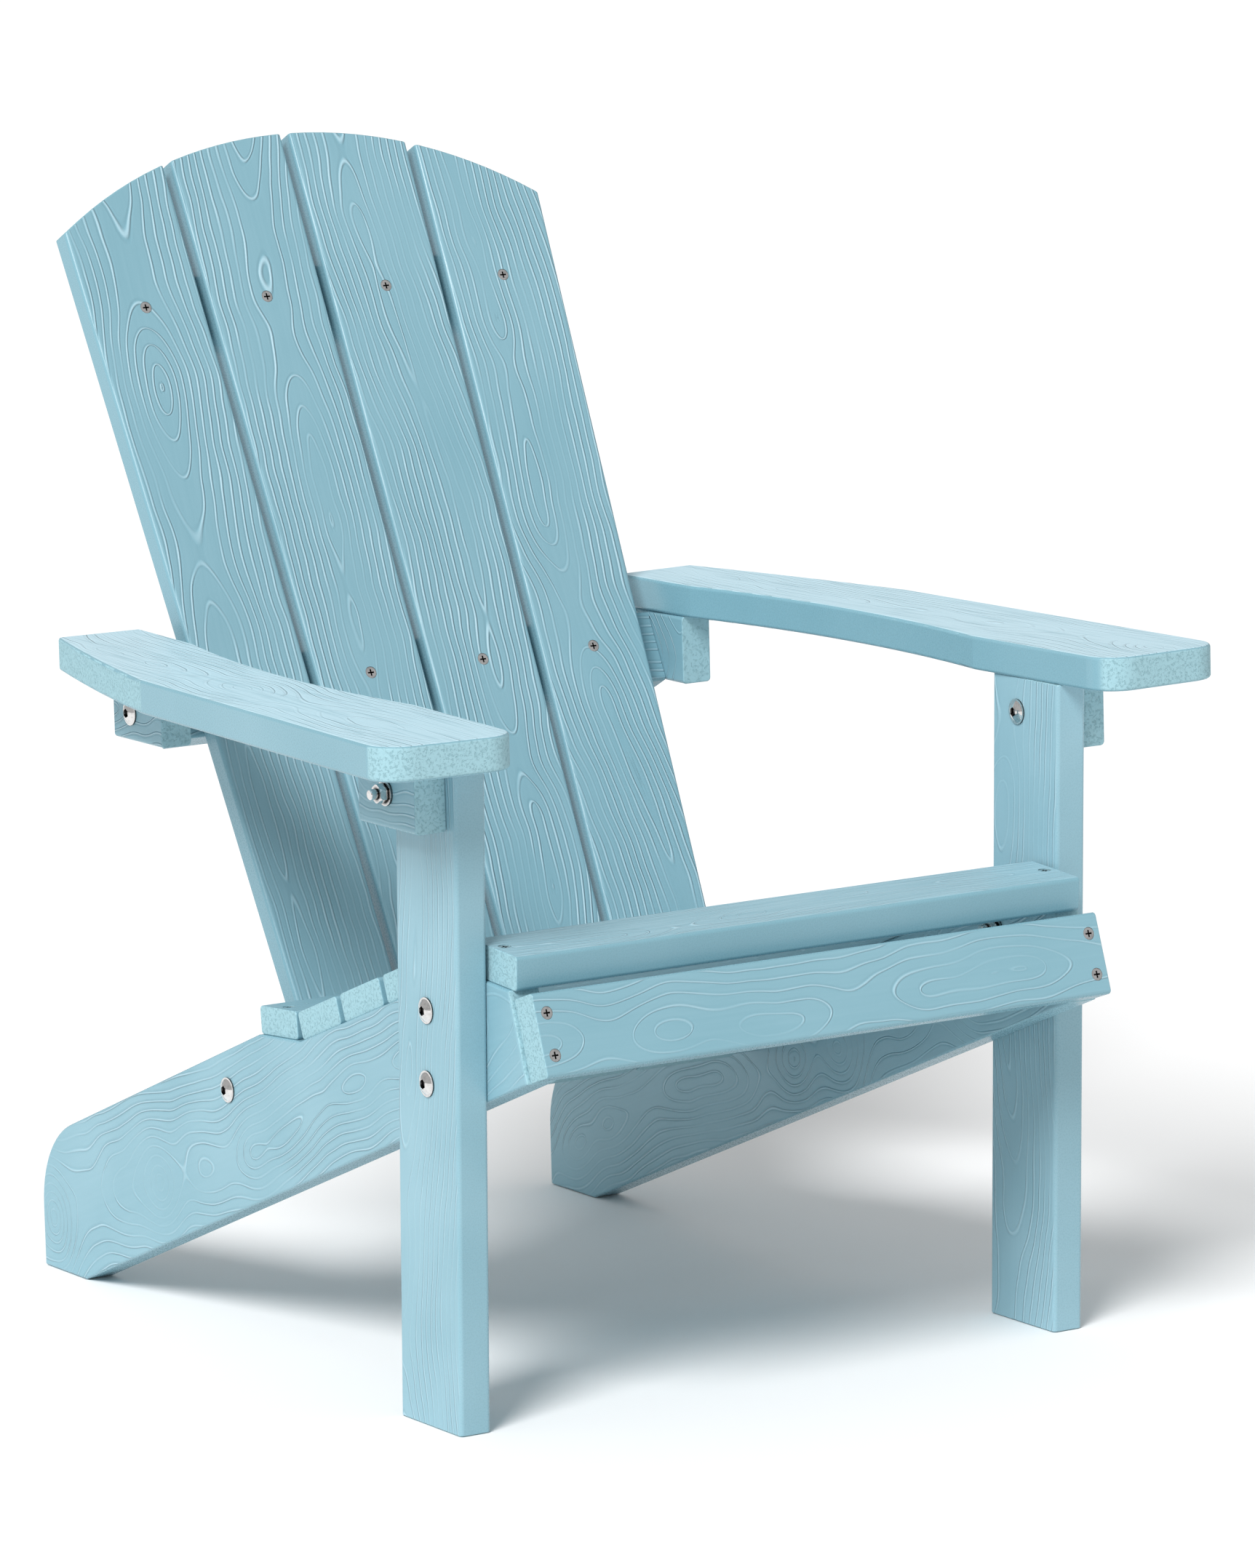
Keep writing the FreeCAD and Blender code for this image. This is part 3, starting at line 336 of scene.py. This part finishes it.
sides = (("left", -1), ("right", 1))
for sideName, side in sides:
    dress(sideName + "_front_leg", boardMaterial(sideName + "_front_leg", {
        "seed": 24.0 + side, "turn": (-2.27, 0, 0), "axes": "zyx", "offset": -0.020, "swell": 0.10,
        "strength": 0.8, "light": 0.42}))
    dress(sideName + "_stringer", boardMaterial(sideName + "_stringer", {
        "seed": 27.5 + side * 1.3, "turn": (21.34, 0, 0), "axes": "yzx", "swing": 7.5,
        "spacing": 0.0056, "swell": 0.16, "light": 0.30}))
    dress(sideName + "_arm", boardMaterial(sideName + "_arm", {
        "seed": 31.0 + side * 1.7, "turn": (0, 0, -3.2 * side), "axes": "yxz",
        "outward": side, "pale": 2.00, "swing": 6.5}))
    for end in ("front", "rear"):
        name = "%s_%s_arm_block" % (sideName, end)
        dress(name, boardMaterial(name, {"seed": 35.0 + side + (4.0 if end == "rear" else 0.0),
                                         "axes": "yzx", "swing": 12.0, "swell": 0.12}))
print("sides dressed")


metal = {
    "brightColour": (0.80, 0.79, 0.78, 1),
    "dullColour": (0.74, 0.74, 0.74, 1),
    # the next colour is painted shade for narrow hollows
    "hollowPaintedShadeColour": (0.03, 0.03, 0.03, 1),
    "filmFineness": 420.0,     # per metre
    "markFineness": 2600.0,
    "markHeight": 0.000012,    # metres
    "brightWear": 0.80,
    "dullWear": 0.75,
    "filmFrom": (0.42, 0.70),
    "filmSpread": 0.12,        # how far the film roughens the metal
    "polish": 0.05,            # how far clean metal is smoother than its roughness says
    "hollowPaintedShadeFrom": (0.58, 0.92),
    "hollowPaintedShadeReach": 0.0030,     # metres; narrower hollows than this get painted shade
    "brightRoughness": 0.10,
    "screwRoughness": 0.27,
}


def metalMaterial(name, colour, roughness, wear):
    # fine turning marks, a thin cloudy film, and painted shade inside narrow hollows
    material, tree, shader = newMaterial(name)
    place = tree.nodes.new("ShaderNodeTexCoord")
    film = cloud(tree, place.outputs["Object"], 3.0, 0.6, metal["filmFineness"])
    marks = cloud(tree, place.outputs["Object"], 2.0, 0.7, metal["markFineness"])
    dark = (colour[0] * wear, colour[1] * wear, colour[2] * wear, 1)
    # ambient occlusion picks where the painted shade goes inside narrow hollows
    hollowShadeProbe = tree.nodes.new("ShaderNodeAmbientOcclusion")
    hollowShadeProbe.samples = 8
    hollowShadeProbe.inputs["Distance"].default_value = metal["hollowPaintedShadeReach"]
    outOfPaintedShade = ramp(tree, hollowShadeProbe.outputs["AO"], *metal["hollowPaintedShadeFrom"])
    clean = blendColour(tree, ramp(tree, film, *metal["filmFrom"]), colour, dark)
    feed(tree, shader.inputs["Base Color"], blendColour(tree, outOfPaintedShade, metal["hollowPaintedShadeColour"], clean))
    feed(tree, shader.inputs["Roughness"],
         plus(tree, roughness - metal["polish"], times(tree, film, metal["filmSpread"])))
    shader.inputs["Metallic"].default_value = 1.0
    raiseSkin(tree, shader, times(tree, marks, metal["markHeight"]))
    return material


brightSteel = metalMaterial("brightSteel", metal["brightColour"], metal["brightRoughness"],
                            metal["brightWear"])
screwSteel = metalMaterial("screwSteel", metal["dullColour"], metal["screwRoughness"], metal["dullWear"])
for name in nodes:
    if name.endswith("_screws"):
        dress(name, screwSteel)
    elif name.endswith(("_bolts", "_washers", "_nuts")):
        dress(name, brightSteel)
print("fasteners dressed")


thread = {
    "radius": 0.00302,     # metres, just outside the plain shank
    "depth": 0.00036,      # metres; the roots lie inside the plain shank
    "pitch": 0.0010,
    "leadIn": 0.0006,      # metres over which the first turn deepens
    "tipShare": 0.86,      # the end's chamfer
    "standOut": 0.0044,    # metres from the nut's face to the tip, just short of the shank's end
    "buried": 0.0010,      # metres that run on inside the nut
    "nutRowsApart": 0.02,  # metres; nuts spread over more height than this are in two rows
    "rows": 56,
    "columns": 48,
}


def threadedEnd(tip, direction, length):
    # radius = outer - depth * (1 - (1 - triangle) * ease), where triangle is a wave over one pitch plus
    # the angle's share of a turn, and ease grows from 0 at the tip to 1 over the lead-in;
    # fans to a point in the middle close both ends
    rows, columns = thread["rows"], thread["columns"]
    step, angle = np.meshgrid(np.linspace(0, 1, rows), np.linspace(0, 2 * np.pi, columns, endpoint=False),
                              indexing="ij")
    phase = step * length / thread["pitch"] + angle / (2 * np.pi)
    triangle = np.abs((phase % 1) * 2 - 1)
    ease = np.clip(step * length / thread["leadIn"], 0, 1)
    radius = thread["radius"] - thread["depth"] * (1 - (1 - triangle) * ease)
    radius[0] *= thread["tipShare"]
    xs = tip[0] - direction * step * length
    ys = tip[1] + radius * np.cos(angle)
    zs = tip[2] + radius * np.sin(angle) * direction
    grid = np.stack([xs, ys, zs], -1).reshape(-1, 3)
    ends = np.array([[tip[0], tip[1], tip[2]], [tip[0] - direction * length, tip[1], tip[2]]])
    index = np.arange(rows * columns).reshape(rows, columns)
    following = np.roll(index, -1, axis=1)
    a, b, c, d = [each.ravel() for each in (index[:-1], index[1:], following[1:], following[:-1])]
    tipEnd, nutEnd = np.full(columns, rows * columns), np.full(columns, rows * columns + 1)
    faces = np.concatenate([np.stack(three, -1) for three in (
        (a, b, c), (a, c, d), (tipEnd, index[0], following[0]), (nutEnd, following[-1], index[-1]))])
    return np.concatenate([grid, ends]), faces


def nutPlaces(name):
    # each nut's side of the chair and its lowest and highest corners, found by side and by height
    count = len(nodes[name].data.vertices)
    points = np.zeros(count * 3)
    nodes[name].data.vertices.foreach_get("co", points)
    points = points.reshape(-1, 3)
    halfway = (points[:, 2].min() + points[:, 2].max()) / 2
    tall = np.ptp(points[:, 2]) > thread["nutRowsApart"]
    found = []
    for side in (-1, 1):
        for upper in ((False, True) if tall else (None,)):
            keep = points[:, 0] * side > 0
            if upper is not None:
                keep &= (points[:, 2] > halfway) == upper
            part = points[keep]
            found.append((side, part.min(0), part.max(0)))
    return found


allPoints, allFaces, start = [], [], 0
for name, outwards in (("arm_block_nuts", 1), ("leg_nuts", -1)):
    for side, low, high in nutPlaces(name):
        direction = side * outwards
        centre = (low + high) / 2
        face = high[0] if direction > 0 else low[0]
        tip = (face + direction * thread["standOut"], centre[1], centre[2])
        points, faces = threadedEnd(tip, direction, thread["standOut"] + thread["buried"])
        allPoints.append(points)
        allFaces.append(faces + start)
        start += len(points)
mesh = bpy.data.meshes.new("boltThreads")
mesh.from_pydata(np.concatenate(allPoints).tolist(), [], np.concatenate(allFaces).tolist())
mesh.validate()
threads = bpy.data.objects.new("boltThreads", mesh)
bpy.context.scene.collection.objects.link(threads)
mesh.materials.append(brightSteel)
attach(threads, "root")
print("threads made:", len(mesh.polygons), "faces")


studio = {
    "floorSize": 80.0,        # metres
    "floorDrop": 0.0004,      # metres below the feet
    "floorColour": (0.97, 0.97, 0.97, 1),
    "floorShade": (0.95, 0.95, 0.95, 1),
    "floorMottle": 0.02,
    "floorRoughness": 0.9,
    "skyStrength": 0.48,
    "sunStrength": 3.00,
    "sunFrom": (-0.70, -0.46, 0.78),
    "sunSoftness": 24.0,      # degrees
}
half, drop = studio["floorSize"] / 2, studio["floorDrop"]
floorMesh = bpy.data.meshes.new("studioFloor")
floorMesh.from_pydata([(-half, -half, -drop), (half, -half, -drop), (half, half, -drop),
                       (-half, half, -drop)], [], [(0, 1, 2, 3)])
floor = bpy.data.objects.new("studioFloor", floorMesh)
bpy.context.scene.collection.objects.link(floor)
floorMaterial, floorTree, floorShader = newMaterial("paleFloor")
floorPlace = floorTree.nodes.new("ShaderNodeTexCoord")
floorTone = cloud(floorTree, floorPlace.outputs["Object"], 2.0, 0.5, 3.0)
feed(floorTree, floorShader.inputs["Base Color"],
     blendColour(floorTree, times(floorTree, floorTone, studio["floorMottle"]),
                 studio["floorColour"], studio["floorShade"]))
floorShader.inputs["Roughness"].default_value = studio["floorRoughness"]
floorMesh.materials.append(floorMaterial)

scene = bpy.context.scene
scene.view_settings.view_transform = "Standard"
world = bpy.data.worlds.new("studioSky")
world.use_nodes = True
world.node_tree.nodes["Background"].inputs["Color"].default_value = (1, 1, 1, 1)
world.node_tree.nodes["Background"].inputs["Strength"].default_value = studio["skyStrength"]
scene.world = world
sunData = bpy.data.lights.new("softSun", "SUN")
sunData.energy = studio["sunStrength"]
sunData.angle = math.radians(studio["sunSoftness"])
sun = bpy.data.objects.new("softSun", sunData)
sun.rotation_euler = Vector(studio["sunFrom"]).to_track_quat("Z", "Y").to_euler()
scene.collection.objects.link(sun)

view = {
    "azimuth": -31.7288,     # degrees, from straight in front towards the left side
    "elevation": 9.6526,
    "roll": -1.5221,
    "place": (-2.50084, -4.13337, 1.13755),   # metres
    "lens": 190.14,          # millimetres, as the sensor
    "sensor": 36,
}
azimuth, elevation, roll = [math.radians(view[key]) for key in ("azimuth", "elevation", "roll")]
back = Vector((math.sin(azimuth) * math.cos(elevation), -math.cos(azimuth) * math.cos(elevation),
               math.sin(elevation)))
right = Vector((0, 0, 1)).cross(back).normalized()
up = back.cross(right)
rolledRight = math.cos(roll) * right + math.sin(roll) * up
rolledUp = math.cos(roll) * up - math.sin(roll) * right
cameraData = bpy.data.cameras.new("camera")
cameraData.lens = view["lens"]
cameraData.sensor_width = view["sensor"]
camera = bpy.data.objects.new("camera", cameraData)
scene.collection.objects.link(camera)
turn = Matrix((rolledRight, rolledUp, back)).transposed().to_4x4()
camera.matrix_world = Matrix.Translation(view["place"]) @ turn
scene.camera = camera
print("studio ready")
